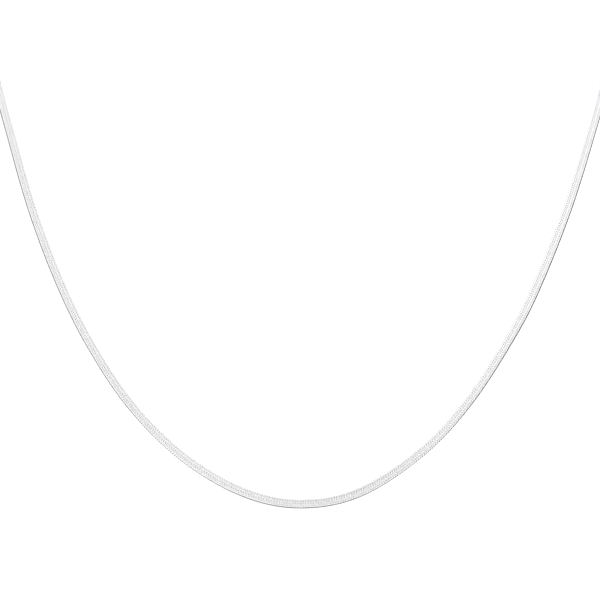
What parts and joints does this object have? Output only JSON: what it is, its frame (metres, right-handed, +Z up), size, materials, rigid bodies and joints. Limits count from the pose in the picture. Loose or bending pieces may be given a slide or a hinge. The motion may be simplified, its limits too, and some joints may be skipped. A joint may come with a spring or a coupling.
{
  "type": "herringbone chain necklace",
  "caption": "Thin flat woven herringbone chain in a deep worn curve, closed at the nape by end caps, jump rings and a claw clasp.",
  "frame": {"origin": "where the closed clasp rests on the back of the neck", "axes": "-Y is the wearer's front, +Z is up and +X is to the right as seen from the front"},
  "size_m": [0.1612, 0.1128, 0.1356],
  "materials": {
    "woven_silver": "bright satin of fine slanted links",
    "polished_silver": "polished"
  },
  "bodies": {
    "root": {"herringbone_band": "woven_silver", "end_cap_left": "polished_silver", "end_cap_right": "polished_silver", "jump_ring_left": "polished_silver", "jump_ring_right": "polished_silver", "clasp": "polished_silver"}
  },
  "joints": []
}
